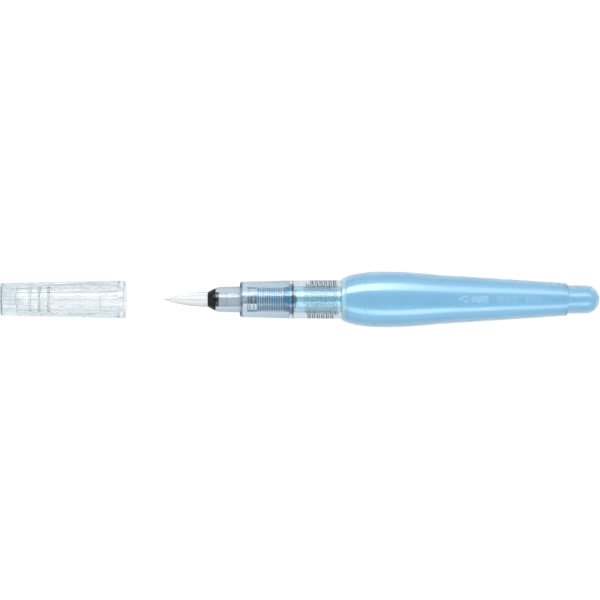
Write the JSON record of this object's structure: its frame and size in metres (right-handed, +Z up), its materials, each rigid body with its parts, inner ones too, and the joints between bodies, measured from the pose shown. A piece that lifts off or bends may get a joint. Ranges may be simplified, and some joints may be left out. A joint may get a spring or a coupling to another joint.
{
  "type": "water brush pen",
  "caption": "Water brush pen with its cap off: squeezable oval bottle, clear screw-on grip with a finned feed, pointed nylon tuft and a fluted clear cap.",
  "frame": {"origin": "on the table, under the middle of the whole length from the cap's closed end to the pen's tail", "axes": "+X along the pen's axis towards its tail, +Y across the wide side of the barrel, +Z up through the barrel's thin side"},
  "size_m": [0.1982, 0.0184, 0.0128],
  "materials": {
    "cap_plastic": "clear polished",
    "nylon": "fine white filaments",
    "collar_plastic": "glossy black",
    "section_plastic": "clear with a grey-blue tint",
    "feed_plastic": "smooth teal-grey",
    "wick_fibre": "porous pressed fibre",
    "seal_rubber": "soft dark",
    "bottle_plastic": "soft translucent light blue"
  },
  "bodies": {
    "bottle": {"bottle": "bottle_plastic"},
    "seal": {"seal_ring": "seal_rubber"},
    "section": {"front_section": "section_plastic", "feed_comb": "feed_plastic", "feed_wick": "wick_fibre", "tuft_collar": "collar_plastic", "bristle_tuft": "nylon"},
    "cap": {"cap": "cap_plastic"}
  },
  "joints": [
    {"name": "section_travel", "type": "slide", "parent": "bottle", "child": "seal", "axis": [-1, 0, 0], "range_m": [0, 0.0105]},
    {"name": "section_turn", "type": "hinge", "parent": "seal", "child": "section", "pos_m": [-0.001, 0, 0.0064], "axis": [-1, 0, 0], "range_deg": [0, 2520]},
    {"name": "cap_slide", "type": "slide", "parent": "section", "child": "cap", "axis": [1, 0, 0], "range_m": [0, 0.03785]}
  ],
  "couplings": [
    {"joint": "section_travel", "follows": "section_turn", "m_per_rad": 0.00023873}
  ]
}
